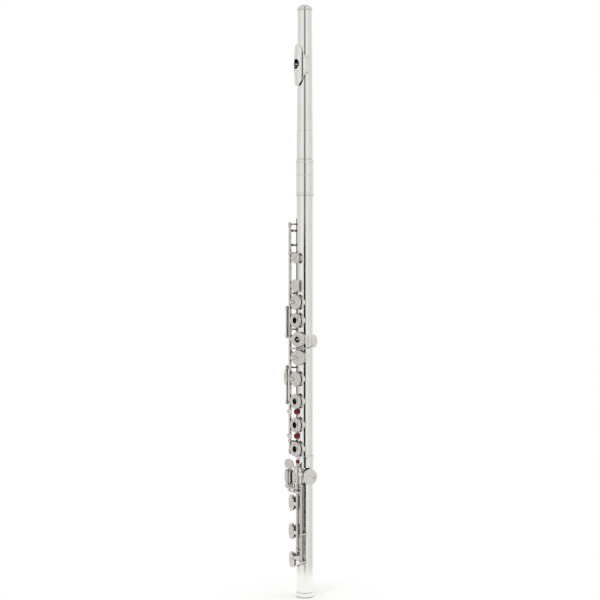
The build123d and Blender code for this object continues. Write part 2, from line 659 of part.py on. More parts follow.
def roller_at(across):
    """Barrel-shaped roller with a bore for its pin."""
    low, high = TOUCH_LOW + 2.2, TOUCH_TOP - 2.2
    place = Plane((across, ROLLER_LINE, 0))
    disc(place, [(0.6, low), (ROLLER - 0.5, low), (ROLLER - 0.15, low + 0.6), (ROLLER, (low + high) / 2),
                 (ROLLER - 0.15, high - 0.6), (ROLLER - 0.5, high), (0.6, high)])


with BuildPart() as foot_tube:
    column((0, 0), 0, FOOT_SHOULDER, TUBE)
    lathe([(8, 154.4), (TUBE, 154.4), (SLEEVE, 157.6), (SLEEVE, 168.8), (RING, 169.4), (RING, 171.2),
           (RING - 0.4, FOOT_TOP), (8, FOOT_TOP)])
    lathe([(8, 0), (10.4, 0), (10.7, 0.4), (10.7, 5.0), (10.3, 5.6), (TUBE, 6.0), (8, 6.0)])
    tone_holes(FOOT_CUPS)
    column((0, 0), 0, FOOT_SHOULDER, BORE, mode=Mode.SUBTRACT)
    column((0, 0), FOOT_SHOULDER, FOOT_TOP, SOCKET, mode=Mode.SUBTRACT)
    drill_tone_holes(FOOT_CUPS)
finish(foot_tube, "foot_tube", SET)

with BuildPart() as foot_rib:
    rib(40.0, 138.5, 27.5, 42.0)
    for level in LOW_POSTS[1:]:
        rib(level - 2.5, level + 2.5, 40.0, 61.0)
finish(foot_rib, "foot_rib", SET)

with BuildPart() as foot_posts:
    post(FOOT_ROD, FOOT_POSTS[0], around(22.0, 10.52))
    post(FOOT_ROD, FOOT_POSTS[1], around(32.0, 10.5))
    post(LOW_ROD, LOW_POSTS[0], around(37.0, 10.5))
    for level in LOW_POSTS[1:]:
        post(LOW_ROD, level, around(57.0, 10.95))
    ream(FOOT_ROD, FOOT_POSTS[1] - 2, FOOT_POSTS[0] + 2, POST_BORE)
    ream(LOW_ROD, LOW_POSTS[2] - 2, LOW_POSTS[0] + 2, POST_BORE)
finish(foot_posts, "foot_posts", SET)

with BuildPart() as foot_screws:
    screw_end(FOOT_ROD, FOOT_POSTS[0], 1)
    screw_end(FOOT_ROD, FOOT_POSTS[1], -1)
    screw_end(LOW_ROD, LOW_POSTS[0], 1)
    screw_end(LOW_ROD, LOW_POSTS[2], -1)
finish(foot_screws, "foot_screws", SET)

with BuildPart() as d_sharp_felt:
    with BuildSketch(facing(-1.0, 12.3, 164.6)) as felt:
        Circle(2.5)
    extrude(felt.sketch, amount=-6.0)
    column((0, 0), 155.0, 175.0, SLEEVE + 0.03, mode=Mode.SUBTRACT)
finish(d_sharp_felt, "d_sharp_felt", SET)

with BuildPart() as d_sharp_key:
    key_tube(FOOT_ROD, 137.3, 159.2)
    cup_shell(REST, D_SHARP)
    edge_arm(REST, FOOT_ROD, D_SHARP, 150.5, 6.0, 4.0, bite=0.05)
    blade(REST, FOOT_ROD, (-7.0, -14.4), (155.4, 159.4), 5.0, 3.6)
    leaf(REST, Plane((-13.0, -13.9, 161.0), x_dir=(1, 0, 0), z_dir=(0, -1, 0)), 9.4, 6.0, 1.3)
    ream(FOOT_ROD, 137.3, 159.2)
finish(d_sharp_key, "d_sharp_key", SET)
pad_for("d_sharp_pad", REST, D_SHARP, turn=SET)

with BuildPart() as low_cs_key:
    key_tube(FOOT_ROD, 108.3, 131.0)
    cup_shell(FOOT_POSE, LOW_CS)
    edge_arm(FOOT_POSE, FOOT_ROD, LOW_CS, LOW_CS.height, side=1, bite=0.05)
    blade(REST, FOOT_ROD, (-3.5, -13.2), (128.4, 128.4), 3.8, 3.2)
    column((-3.5, -13.2), 127.0, 140.0, 1.1)
    leaf(REST, Plane((-3.5, -13.3, 145.2), x_dir=(1, 0, 0), z_dir=(0, -1, 0)), 3.4, 9.0, 1.3)
    ream(FOOT_ROD, 108.3, 131.0)
finish(low_cs_key, "low_cs_key", SET)
pad_for("low_cs_pad", FOOT_POSE, LOW_CS, turn=SET)

with BuildPart() as low_c_key:
    key_tube(FOOT_ROD, 61.0, 108.0)
    cup_shell(FOOT_POSE, LOW_C)
    edge_arm(FOOT_POSE, FOOT_ROD, LOW_C, LOW_C.height, side=1, bite=0.05)
    ream(FOOT_ROD, 61.0, 108.0, TUBE_BORE - 0.02)
finish(low_c_key, "low_c_key", SET)
pad_for("low_c_pad", FOOT_POSE, LOW_C, turn=SET)

with BuildPart() as low_c_touch:
    key_tube(FOOT_ROD, 131.3, 137.0)
    for start, end in zip([FOOT_ROD, (0.0, -18.2), (-7.0, -17.4)], [(0.0, -18.2), (-7.0, -17.4), (-9.7, -12.3)]):
        blade(REST, start, end, (132.8, 132.8), 2.4, 2.4)
    roller_frame(C_ROLLER_X, 131.6)
    column(FOOT_ROD, FOOT_POSTS[1] + 1.2, FOOT_POSTS[0] - 1.2, STEEL)
finish(low_c_touch, "low_c_touch", SET)

with BuildPart() as c_roller:
    roller_at(C_ROLLER_X)
finish(c_roller, "c_roller", SET)

with BuildPart() as low_b_key:
    key_tube(LOW_ROD, LOW_POSTS[1] + 1.8, LOW_POSTS[0] - 1.8)
    key_tube(LOW_ROD, LOW_POSTS[2] + 1.8, LOW_POSTS[1] - 1.8)
    column(LOW_ROD, LOW_POSTS[2] + 1.2, LOW_POSTS[0] - 1.2, STEEL)
    cup_shell(LOW_POSE, LOW_B)
    edge_arm(LOW_POSE, LOW_ROD, LOW_B, 49.4, side=1, bite=0.05)
    stops = [LOW_ROD, (10.4, -17.0), (7.0, -19.4), (-2.0, -18.4), (-12.0, -16.3), (-14.2, -12.3)]
    for start, end in zip(stops, stops[1:]):
        blade(REST, start, end, (129.0, 129.0), 2.4, 2.4)
    roller_frame(B_ROLLER_X, 127.8)
    for level in (138.0, 150.0):
        blade(REST, (B_ROLLER_X, TOUCH_BAR), (-18.8, -13.7), (level, level), 3.4, 3.4, thick=1.1)
    leaf(REST, Plane((-19.6, -13.3, 145.2), x_dir=(1, 0, 0), z_dir=(0, -1, 0)), 2.9, 9.0, 1.3)
    leaf(REST, Plane((-17.6, -12.7, 133.1), x_dir=(1, 0, 0), z_dir=(0, -1, 0)), 5.0, 2.9, 1.3)
finish(low_b_key, "low_b_key", SET)
pad_for("low_b_pad", LOW_POSE, LOW_B, turn=SET)

with BuildPart() as b_roller:
    roller_at(B_ROLLER_X)
finish(b_roller, "b_roller", SET)
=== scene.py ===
"""Looks of a concert flute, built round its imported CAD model. Lengths in mm unless a name says metres."""
import json
import math
import random

import bpy
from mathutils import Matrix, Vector, noise


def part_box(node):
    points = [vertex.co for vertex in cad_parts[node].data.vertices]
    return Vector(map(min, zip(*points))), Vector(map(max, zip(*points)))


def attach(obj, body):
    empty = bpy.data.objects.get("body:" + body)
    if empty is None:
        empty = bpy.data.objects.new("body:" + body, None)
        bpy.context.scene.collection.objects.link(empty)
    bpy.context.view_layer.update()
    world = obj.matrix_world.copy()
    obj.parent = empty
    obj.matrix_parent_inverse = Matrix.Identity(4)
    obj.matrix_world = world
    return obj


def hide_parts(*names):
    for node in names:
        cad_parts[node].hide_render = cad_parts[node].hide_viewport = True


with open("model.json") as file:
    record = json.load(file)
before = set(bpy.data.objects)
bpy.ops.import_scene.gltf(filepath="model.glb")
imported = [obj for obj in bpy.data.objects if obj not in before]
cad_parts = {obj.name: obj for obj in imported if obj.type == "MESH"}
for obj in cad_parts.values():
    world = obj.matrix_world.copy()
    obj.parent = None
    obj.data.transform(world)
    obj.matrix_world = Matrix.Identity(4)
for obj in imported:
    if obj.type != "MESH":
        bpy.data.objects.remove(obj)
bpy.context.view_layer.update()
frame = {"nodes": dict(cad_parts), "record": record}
MM = 0.001

# ---------------------------------------------------------------- what the CAD fixes
TUBE_RADIUS = 9.9            # outside of the body tube
SLEEVE_RADIUS = 10.45        # outside of the foot's socket
PAD_DEEP = 3.27              # pad thickness
PAD_CLEAR = 0.09             # the skin's playing face is set back from the solid pad's face
BUSH_RADIUS = 4.25           # hole through the pad of an open-hole key
FELT_CLEAR = 0.04            # least distance from a felt to the wall that it is glued to
EDGE_ROUND = 0.12            # how far the metal's edges look rounded

# ---------------------------------------------------------------- where the viewer stands
VIEW_BEARING = math.radians(45.5)     # from -Y, the keys' side, towards +X
VIEW_DISTANCE = 1.55                  # metres
VIEW_HEIGHT = 0.3607                  # metres
VIEW_ASIDE = 0.0059                   # metres the view's centre lies left of the tube
FRAME_TALL = 0.7308                   # metres seen from top to bottom at the tube
TOWARDS_VIEWER = Vector((math.sin(VIEW_BEARING), -math.cos(VIEW_BEARING), 0))
VIEWER_RIGHT = Vector((math.cos(VIEW_BEARING), math.sin(VIEW_BEARING), 0))


# ---------------------------------------------------------------- colours, linear
SILVER_WORN = (0.80, 0.765, 0.69, 1)
# Grime and painted shade, mixed into the silver's crevices.
SILVER_GRIME_AND_SHADE = (0.115, 0.085, 0.05, 1)
WALL_SHADE = (0.016, 0.012, 0.007, 1)

# ---------------------------------------------------------------- painted shade on the walls of the keys, from bare to dark
WALL_LEAN = (0.66, 0.50)               # how far the surface leans out from the tube's axis
WALL_AWAY = (18.3 * MM, 17.7 * MM)     # metres from the tube's axis
WALL_BARE = (0.99, 0.84)               # share of the room that the surface sees


# ================================================================ node materials
class Shader:
    """A node tree being wired up."""

    def __init__(self, owner):
        owner.use_nodes = True
        self.owner = owner
        self.nodes = owner.node_tree.nodes
        self.links = owner.node_tree.links
        self.nodes.clear()

    def put(self, socket, value):
        if isinstance(value, bpy.types.NodeSocket):
            self.links.new(value, socket)
        else:
            socket.default_value = value

    def add(self, kind, *ordered, settings=None, **named):
        made = self.nodes.new(kind)
        for key, value in (settings or {}).items():
            setattr(made, key, value)
        for index, value in enumerate(ordered):
            self.put(made.inputs[index], value)
        for key, value in named.items():
            self.put(made.inputs[key.replace("_", " ")], value)
        return made

    def math(self, operation, *values, clamp=False):
        made = self.add("ShaderNodeMath", *values, settings={"operation": operation, "use_clamp": clamp})
        return made.outputs[0]

    def remap(self, value, low, high, to_low=0.0, to_high=1.0):
        made = self.add("ShaderNodeMapRange", value, low, high, to_low, to_high)
        return made.outputs[0]

    def mix(self, amount, first, second, blend="MIX"):
        made = self.add("ShaderNodeMix", settings={"data_type": "RGBA", "blend_type": blend})
        for name, value in (("Factor_Float", amount), ("A_Color", first), ("B_Color", second)):
            self.put(next(socket for socket in made.inputs if socket.identifier == name), value)
        return next(socket for socket in made.outputs if socket.identifier == "Result_Color")

    def ramp(self, amount, stops):
        made = self.add("ShaderNodeValToRGB", amount)
        scale = made.color_ramp
        while len(scale.elements) < len(stops):
            scale.elements.new(0.5)
        for element, (place, colour) in zip(scale.elements, stops):
            element.position = place
            element.color = colour
        return made.outputs[0]

    def millimetres(self, stretch=(1, 1, 1)):
        """Place on the piece, in millimetres, squeezed along chosen axes."""
        place = self.add("ShaderNodeTexCoord").outputs["Object"]
        scale = tuple(value / MM for value in stretch)
        return self.add("ShaderNodeMapping", Vector=place, Scale=scale).outputs[0]

    def dot(self, first, second):
        made = self.add("ShaderNodeVectorMath", first, second, settings={"operation": "DOT_PRODUCT"})
        return made.outputs["Value"]

    def length(self, vector):
        return self.add("ShaderNodeVectorMath", vector, settings={"operation": "LENGTH"}).outputs["Value"]

    def openness(self, distance, samples):
        """Share of the room that a point can see within a distance in mm: 1 when bare."""
        made = self.add("ShaderNodeAmbientOcclusion", Distance=distance * MM, settings={"samples": samples})
        return made.outputs["AO"]

    def noise(self, place, scale, detail=4.0, rough=0.55, bend=0.0):
        made = self.add("ShaderNodeTexNoise", Vector=place, Scale=scale, Detail=detail, Roughness=rough,
                        Distortion=bend)
        return made.outputs["Fac"]

    def bump(self, height, strength, distance, under=None):
        made = self.add("ShaderNodeBump", Height=height, Strength=strength, Distance=distance * MM)
        if under is not None:
            self.put(made.inputs["Normal"], under)
        return made.outputs[0]


def material(name):
    return Shader(bpy.data.materials.new(name))


def close(shader, surface):
    shader.add("ShaderNodeOutputMaterial", Surface=surface)
    return shader.owner


def grey(level):
    return (level, level, level, 1.0)


def from_tube(s):
    """How far a surface leans out from the tube's axis, and its distance from that axis."""
    surface = s.add("ShaderNodeNewGeometry").outputs
    flat = s.add("ShaderNodeVectorMath", surface["Position"], (1, 1, 0),
                 settings={"operation": "MULTIPLY"}).outputs[0]
    radial = s.add("ShaderNodeVectorMath", flat, settings={"operation": "NORMALIZE"}).outputs[0]
    return s.dot(surface["Normal"], radial), s.length(flat)


def polished_metal(name, clean, dull, shine=(0.05, 0.17), lines=(0.4, 0.4, 7.0), crevice=0.5, depth=1.6,
                   walls=0.0):
    """Plated metal: drifting tint, polishing lines, smears, crevices darkened by grime and painted shade,
    painted shade on the walls of cups and arms when walls is given, and rubbed edges.
    """
    s = material(name)
    place = s.millimetres()
    drift = s.remap(s.noise(place, 0.05, 5.0, 0.6, 0.6), 0.35, 0.68)
    specks = s.remap(s.noise(place, 1.9, 6.0, 0.7), 0.58, 0.74)
    tint = s.mix(s.math("MULTIPLY", drift, 0.55), clean, dull)
    tint = s.mix(s.math("MULTIPLY", specks, 0.16), tint, dull)

    # Grime and painted shade: darker where the AO finds the surface enclosed, where cloth can't reach and shade
    # falls.
    bare = s.openness(depth, 6)
    grime_and_shade = s.math("MULTIPLY", s.remap(bare, 0.90, 0.42), crevice, clamp=True)
    if walls:
        # Painted shade: walls of cups and arms, close to the tube and square to its radius, go dark where
        # little of the room is open.
        lean, away = from_tube(s)
        wall = s.math("MULTIPLY", s.remap(lean, *WALL_LEAN), s.remap(away, *WALL_AWAY), clamp=True)
        shaded = s.math("MULTIPLY", wall, s.remap(bare, *WALL_BARE), clamp=True)
        tint = s.mix(s.math("MULTIPLY", shaded, walls), tint, WALL_SHADE)
    tint = s.mix(grime_and_shade, tint, SILVER_GRIME_AND_SHADE)

    # Rubbed edges: the rounded normal leaves the true one only along an edge.
    rounded = s.add("ShaderNodeBevel", Radius=EDGE_ROUND * MM, settings={"samples": 4}).outputs[0]
    true = s.add("ShaderNodeNewGeometry").outputs["Normal"]
    rubbed = s.math("MULTIPLY", s.remap(s.dot(rounded, true), 0.985, 0.80), s.remap(drift, 0.0, 1.0, 0.35, 0.8),
                    clamp=True)
    tint = s.mix(rubbed, tint, SILVER_WORN)

    hairlines = s.noise(s.millimetres(lines), 1.7, 3.0, 0.75)
    smears = s.remap(s.noise(place, 0.16, 4.0, 0.62, 1.2), 0.42, 0.66)
    gloss = s.remap(s.math("ADD", s.math("MULTIPLY", hairlines, 0.45), s.math("MULTIPLY", smears, 0.55)),
                    0.1, 0.9, *shine)
    gloss = s.math("ADD", gloss, s.math("MULTIPLY", grime_and_shade, 0.22))
    gloss = s.math("ADD", gloss, s.math("MULTIPLY", rubbed, 0.05), clamp=True)

    waves = s.bump(s.noise(place, 0.11, 2.0, 0.4), 0.05, 0.10, rounded)
    scratched = s.bump(hairlines, 0.05, 0.01, waves)
    surface = s.add("ShaderNodeBsdfPrincipled", Base_Color=tint, Metallic=1.0, Roughness=gloss,
                    Normal=scratched)
    return close(s, surface.outputs[0])


def turned_steel(name, clean, dull, shine=(0.18, 0.36), grooves=9.0):
    """Ground steel: fine rings round the rod, stains and ends darkened where the rod is enclosed."""
    s = material(name)
    place = s.millimetres()
    rings = s.noise(s.millimetres((0.25, 0.25, grooves)), 1.3, 4.0, 0.8)
    stain = s.remap(s.noise(place, 0.3, 5.0, 0.65, 0.8), 0.4, 0.7)
    # Darker where the AO finds the rod enclosed, towards its ends.
    enclosed_darkening = s.math("MULTIPLY", s.remap(s.openness(1.2, 4), 0.8, 0.2), 0.7, clamp=True)
    tint = s.mix(s.math("MULTIPLY", stain, 0.6), clean, dull)
    tint = s.mix(enclosed_darkening, tint, (dull[0] * 0.4, dull[1] * 0.35, dull[2] * 0.28, 1.0))
    gloss = s.remap(s.math("ADD", rings, s.math("MULTIPLY", stain, 0.5)), 0.3, 1.2, *shine)
    normal = s.bump(rings, 0.22, 0.012)
    surface = s.add("ShaderNodeBsdfPrincipled", Base_Color=tint, Metallic=1.0, Roughness=gloss, Normal=normal)
    return close(s, surface.outputs[0])


def pad_skin(name):
    """Cream membrane stretched over felt: fibres, fine creases, a soft glow and painted shade on its sides."""
    s = material(name)
    place = s.millimetres()
    clouds = s.remap(s.noise(place, 0.5, 5.0, 0.6, 0.4), 0.3, 0.7)
    fibres = s.noise(s.millimetres((3.0, 0.8, 0.8)), 2.2, 5.0, 0.7, 1.5)
    creases = s.add("ShaderNodeTexVoronoi", Vector=place, Scale=1.6,
                    settings={"feature": "DISTANCE_TO_EDGE"}).outputs["Distance"]
    tint = s.mix(clouds, (0.80, 0.62, 0.36, 1), (0.90, 0.80, 0.60, 1))
    tint = s.mix(s.remap(fibres, 0.62, 0.8, 0.0, 0.5), tint, (0.62, 0.42, 0.20, 1))
    # Painted shade: dark on the sides that face the tube and where the pad is enclosed under its cup.
    lean, _ = from_tube(s)
    shaded = s.math("MAXIMUM", s.remap(s.openness(5.0, 8), 0.99, 0.72), s.remap(lean, -0.85, -0.5))
    tint = s.mix(shaded, tint, WALL_SHADE)
    gloss = s.remap(fibres, 0.3, 0.8, 0.34, 0.6)
    soft = s.bump(s.math("MINIMUM", creases, 0.12), 0.25, 0.05)
    normal = s.bump(fibres, 0.35, 0.03, soft)
    surface = s.add("ShaderNodeBsdfPrincipled", Base_Color=tint, Roughness=gloss, Normal=normal,
                    Subsurface_Weight=0.08, Subsurface_Radius=(0.3 * MM, 0.2 * MM, 0.1 * MM),
                    Sheen_Weight=0.1, Specular_IOR_Level=0.3)
    return close(s, surface.outputs[0])


def red_felt(name):
    """Pressed wool: tangled fibres and lint."""
    s = material(name)
    place = s.millimetres()
    tangle = s.noise(place, 3.2, 8.0, 0.75, 1.8)
    strands = s.noise(s.millimetres((1.0, 4.0, 1.0)), 2.4, 6.0, 0.7, 2.5)
    lint = s.remap(s.noise(place, 5.5, 4.0, 0.8), 0.66, 0.78)
    tint = s.mix(s.remap(tangle, 0.3, 0.7), (0.075, 0.008, 0.007, 1), (0.26, 0.036, 0.026, 1))
    tint = s.mix(s.math("MULTIPLY", lint, 0.3), tint, (0.50, 0.22, 0.17, 1))
    normal = s.bump(s.math("ADD", tangle, s.math("MULTIPLY", strands, 0.6)), 0.8, 0.12)
    surface = s.add("ShaderNodeBsdfPrincipled", Base_Color=tint, Roughness=0.92, Normal=normal,
                    Sheen_Weight=0.25, Sheen_Roughness=0.5, Sheen_Tint=(0.8, 0.4, 0.3, 1),
                    Specular_IOR_Level=0.15)
    return close(s, surface.outputs[0])


def bark_cork(name):
    """Cork: grains, dark pores and a little wax."""
    s = material(name)
    place = s.millimetres()
    grains = s.add("ShaderNodeTexVoronoi", Vector=place, Scale=1.1, Randomness=1.0)
    cell = s.add("ShaderNodeSeparateColor", grains.outputs["Color"]).outputs[0]
    pores = s.remap(s.noise(place, 0.7, 6.0, 0.75, 0.8), 0.60, 0.68)
    tint = s.mix(cell, (0.44, 0.25, 0.11, 1), (0.66, 0.43, 0.22, 1))
    tint = s.mix(pores, tint, (0.10, 0.045, 0.018, 1))
    height = s.math("SUBTRACT", s.math("MULTIPLY", cell, 0.4), pores)
    normal = s.bump(height, 0.7, 0.15)
    surface = s.add("ShaderNodeBsdfPrincipled", Base_Color=tint, Roughness=s.remap(cell, 0, 1, 0.62, 0.8),
                    Normal=normal, Sheen_Weight=0.1)
    return close(s, surface.outputs[0])


MATERIALS = {
    "silver_tube": polished_metal("tube_silver", (0.945, 0.945, 0.925, 1), (0.90, 0.885, 0.83, 1),
                                  crevice=0.8, depth=3.0),
    "silver_keys": polished_metal("key_silver", (0.83, 0.80, 0.775, 1), (0.66, 0.60, 0.52, 1),
                                  shine=(0.06, 0.20), lines=(3.0, 3.0, 1.2), crevice=0.95, depth=4.2,
                                  walls=0.93),
    "silver_lip": polished_metal("lip_silver", (0.945, 0.945, 0.93, 1), (0.88, 0.86, 0.80, 1),
                                 shine=(0.05, 0.15), lines=(2.0, 2.0, 0.6)),
    "rod_steel": turned_steel("rod_steel", (0.60, 0.58, 0.55, 1), (0.40, 0.36, 0.29, 1)),
    "spring_steel": turned_steel("blued_spring", (0.30, 0.33, 0.42, 1), (0.42, 0.30, 0.16, 1), grooves=2.0),
    "pad_skin": pad_skin("pad_membrane"),
    "cork": bark_cork("stopper_cork_grain"),
    "felt": red_felt("pressed_felt"),
}


# ================================================================ mesh helpers
def new_piece(name, points, faces, slot, body, *stands_for):
    """Mesh piece from points in mm, smooth shaded, riding on a body in place of CAD nodes."""
    mesh = bpy.data.meshes.new(name)
    mesh.from_pydata([tuple(Vector(point) * MM) for point in points], [], faces)
    mesh.validate()
    for polygon in mesh.polygons:
        polygon.use_smooth = True
    mesh.materials.append(MATERIALS[slot])
    piece = bpy.data.objects.new(name, mesh)
    bpy.context.scene.collection.objects.link(piece)
    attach(piece, body)
    if stands_for:
        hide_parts(*stands_for)
    return piece


def turned(rings, steps, closed):
    """Faces between rings of points; closed joins the last ring to the first."""
    faces = []
    count = len(rings)
    for i in range(count if closed else count - 1):
        for k in range(steps):
            first, second = i, (i + 1) % count
            faces.append((first * steps + k, first * steps + (k + 1) % steps,
                          second * steps + (k + 1) % steps, second * steps + k))
    return faces


def capped(faces, rings, steps):
    """The faces with a flat end over the first ring and another over the last."""
    first = tuple(reversed(range(steps)))
    last = tuple(range((rings - 1) * steps, rings * steps))
    return faces + [first, last]


def node_points(name):
    return [vertex.co / MM for vertex in frame["nodes"][name].data.vertices]


def clusters(name, gap=3.0):
    """Points of a node, split where nothing stands between two heights."""
    points = sorted(node_points(name), key=lambda point: point.z)
    groups = [[points[0]]]
    for point in points[1:]:
        if point.z - groups[-1][-1].z > gap:
            groups.append([])
        groups[-1].append(point)
    return groups


def span(points):
    low = Vector(min(point[i] for point in points) for i in range(3))
    high = Vector(max(point[i] for point in points) for i in range(3))
    return low, high


# ================================================================ pads
def pad_frame(name):
    """Centre of a pad's seat, its outward axis and its radius, from its CAD disc."""
    mesh = frame["nodes"][name].data
    sums = {}
    for polygon in mesh.polygons:
        key = tuple(round(value, 2) for value in polygon.normal)
        if abs(key[2]) < 0.02:
            sums[key] = sums.get(key, 0.0) + polygon.area
    axis = Vector(max(sums, key=sums.get)).normalized()
    points = node_points(name)
    low, high = span(points)
    middle = (low + high) / 2
    if axis.dot(Vector((middle.x, middle.y, 0))) < 0:
        axis.negate()
    depth = min(point.dot(axis) for point in points)
    seat = middle + axis * (depth - middle.dot(axis))
    return seat, axis, (high.z - low.z) / 2


def make_pad(name, body, open_hole):
    """Felt disc in a stretched skin: crowned face, printed seat ring, gathered edge."""
    seat, axis, radius = pad_frame(name)
    up = Vector((0, 0, 1))
    side = up.cross(axis)
    print_ring = radius - 1.6
    hole = BUSH_RADIUS if open_hole else 0.0
    dice = random.Random(name)
    folds = [(dice.randint(19, 47), dice.uniform(0, 6.28), dice.uniform(0.3, 1.0)) for _ in range(5)]
    inner = [(hole, 0.30), (hole + 0.16, 0.10), (hole + 0.5, 0.02)] if open_hole else [(0.35, 0.0), (1.6, 0.0)]
    profile = inner + [
        (print_ring - 1.5, 0.0), (print_ring - 0.55, 0.01), (print_ring - 0.2, 0.06), (print_ring, 0.085),
        (print_ring + 0.2, 0.06), (print_ring + 0.5, 0.01), (radius - 0.75, 0.02), (radius - 0.34, 0.12),
        (radius - 0.10, 0.34), (radius - 0.01, 0.62), (radius - 0.01, 1.3), (radius - 0.02, PAD_DEEP - 0.1),
        (radius - 0.2, PAD_DEEP - 0.02),
    ]
    if open_hole:
        profile += [(hole + 0.3, PAD_DEEP - 0.02), (hole, PAD_DEEP - 0.2)]
    else:
        profile.append((0.35, PAD_DEEP - 0.02))
    steps = 112
    points = []
    for r, h in profile:
        edge = min(1.0, max(0.0, (r - print_ring) / (radius - print_ring)))
        for k in range(steps):
            turn = 2 * math.pi * k / steps
            crease = sum(weight * math.cos(count * turn + phase) for count, phase, weight in folds) / 3.2
            lift = 0.028 * edge * (1 + crease) if h < 1.2 else 0.0
            shrink = 0.030 * edge * (1 + crease) if 0.2 < h < 1.5 else 0.0
            swell = 0.02 * noise.noise(Vector((math.cos(turn), math.sin(turn), r * 0.6)) * 1.3 + seat)
            spot = seat + (side * math.cos(turn) + up * math.sin(turn)) * (r - shrink)
            clear = PAD_CLEAR if h < 1.2 else 0.0
            points.append(spot + axis * (clear + max(0.0, h + lift + (swell + 0.02 if h < 0.2 else 0.0))))
    faces = turned(profile, steps, closed=open_hole)
    if not open_hole:
        faces = capped(faces, len(profile), steps)
    return new_piece(name + "_skin", points, faces, "pad_skin", body, name)


OPEN_PADS = {"a_pad", "g_pad", "f_pad", "e_pad", "d_pad"}
for body_name, members in frame["record"]["behaviour"]["bodies"].items():
    for member in members:
        if member.endswith("_pad"):
            make_pad(member, body_name, member in OPEN_PADS)


# ================================================================ felts under the touches
def make_felts(node, body, wall):
    """Pressed-wool bumpers glued to a round wall, a little squashed and hairy."""
    for index, group in enumerate(clusters(node)):
        low, high = span(group)
        height = (low.z + high.z) / 2
        flat = Vector((low.x + high.x, low.y + high.y, 0)).normalized()
        up = Vector((0, 0, 1))
        side = up.cross(flat)
        radius = (high.z - low.z) / 2
        top = max(point.dot(flat) for point in group)
        deep = top - wall + 0.6
        shoulder = 0.45
        profile = [(0.2, 0.0), (radius * 0.5, 0.0), (radius - 0.7, 0.03), (radius - 0.25, 0.16),
                   (radius - 0.05, shoulder)]
        profile += [(radius - 0.06 * math.sin(math.pi * share), shoulder + (deep - shoulder) * share)
                    for share in (0.1, 0.25, 0.4, 0.55, 0.7, 0.85, 1.0)]
        steps = 96
        points = []
        for ring, (r, drop) in enumerate(profile):
            for k in range(steps):
                turn = 2 * math.pi * k / steps
                out = side * math.cos(turn) + up * math.sin(turn)
                spot = out * r + flat * (top - drop) + up * height
                tuft = noise.noise(spot * 2.7) * 0.05 + noise.noise(spot * 7.0) * 0.035
                if ring > 1:
                    spot += out * (tuft - 0.09)
                if drop < 0.3:
                    spot -= flat * (0.05 + tuft)
                shadow = Vector((spot.x, spot.y, 0))
                if shadow.length < wall + FELT_CLEAR:
                    spot += shadow.normalized() * (wall + FELT_CLEAR - shadow.length)
                points.append(spot)
        faces = capped(turned(profile, steps, closed=False), len(profile), steps)
        stands_for = (node,) if index == 0 else ()
        new_piece(f"{node}_wool_{index + 1}", points, faces, "felt", body, *stands_for)


make_felts("trill_felts", "body", TUBE_RADIUS)
make_felts("d_sharp_felt", "foot", SLEEVE_RADIUS)


# ================================================================ stopper cork
def make_cork():
    low, high = (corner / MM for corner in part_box("stopper_cork"))
    outer = (high.x - low.x) / 2
    tall = high.z - low.z
    bore = 1.57
    worn_ends = {0.0: 0.5, 0.15: 0.2, 0.5: 0.03, 1.2: 0.0}
    rise = list(worn_ends) + [2.0 + 1.0 * i for i in range(13)] + [tall - near for near in reversed(worn_ends)]
    profile = []
    for z in rise:
        from_end = round(min(z, tall - z), 2)
        profile.append((outer - worn_ends.get(from_end, 0.0) - 0.02, z))
    profile += [(outer * 0.6, tall), (bore, tall), (bore, 0.0), (outer * 0.6, 0.0)]
    steps = 120
    points = []
    for r, z in profile:
        for k in range(steps):
            turn = 2 * math.pi * k / steps
            spot = Vector((r * math.cos(turn), r * math.sin(turn), low.z + z))
            broad = max(0.0, noise.noise(spot * 1.1) - 0.25) * 0.25
            fine = max(0.0, noise.noise(spot * 3.1) - 0.3) * 0.12
            dent = broad + fine if outer * 0.8 < r else 0.0
            points.append(Vector((spot.x * (1 - dent / r), spot.y * (1 - dent / r), spot.z)))
    new_piece("stopper_cork_plug", points, turned(profile, steps, closed=True), "cork", "stopper",
              "stopper_cork")


make_cork()


# ================================================================ needle springs
def make_springs():
    """Tapering blued needles, each held in a post and bowed a little by its load."""
    for index, group in enumerate(clusters("needle_springs")):
        low, high = span(group)
        centre = (low + high) / 2
        lowest = index == 0
        start, end = (low.z, high.z) if lowest else (high.z, low.z)
        stations = 22
        steps = 12
        points = []
        for i in range(stations):
            share = i / (stations - 1)
            thick = 0.29 - 0.15 * share ** 0.8
            if i in (0, stations - 1):
                thick *= 0.45
            bow = 0.22 * share ** 2
            z = start + (end - start) * share
            for k in range(steps):
                turn = 2 * math.pi * k / steps
                points.append(Vector((centre.x + thick * math.cos(turn) + bow * 0.4,
                                      centre.y + thick * math.sin(turn) + bow, z)))
        faces = capped(turned(range(stations), steps, closed=False), stations, steps)
        if not lowest:
            faces = [tuple(reversed(face)) for face in faces]
        stands_for = ("needle_springs",) if index == 0 else ()
        new_piece(f"needle_spring_{index + 1}", points, faces, "spring_steel", "body", *stands_for)


make_springs()


# ================================================================ finishes of the CAD nodes
SLOT_OF = {entry["node"]: entry["material_slot"] for entry in frame["record"]["subparts"]}
for name, obj in frame["nodes"].items():
    finish = MATERIALS[SLOT_OF[name]]
    if not obj.material_slots:
        obj.data.materials.append(finish)
    for held in obj.material_slots:
        held.material = finish


# ================================================================ surroundings
FLOOR_HALF = 6.0             # metres
FLOOR_DROP = 0.0003          # metres below the foot's open end
FLOOR_WHITE_REACH = 0.15     # metres round the tube where the floor shows in the silver
FLOOR_FADE = (0.02, 0.12)    # metres over which the floor fades into the white room

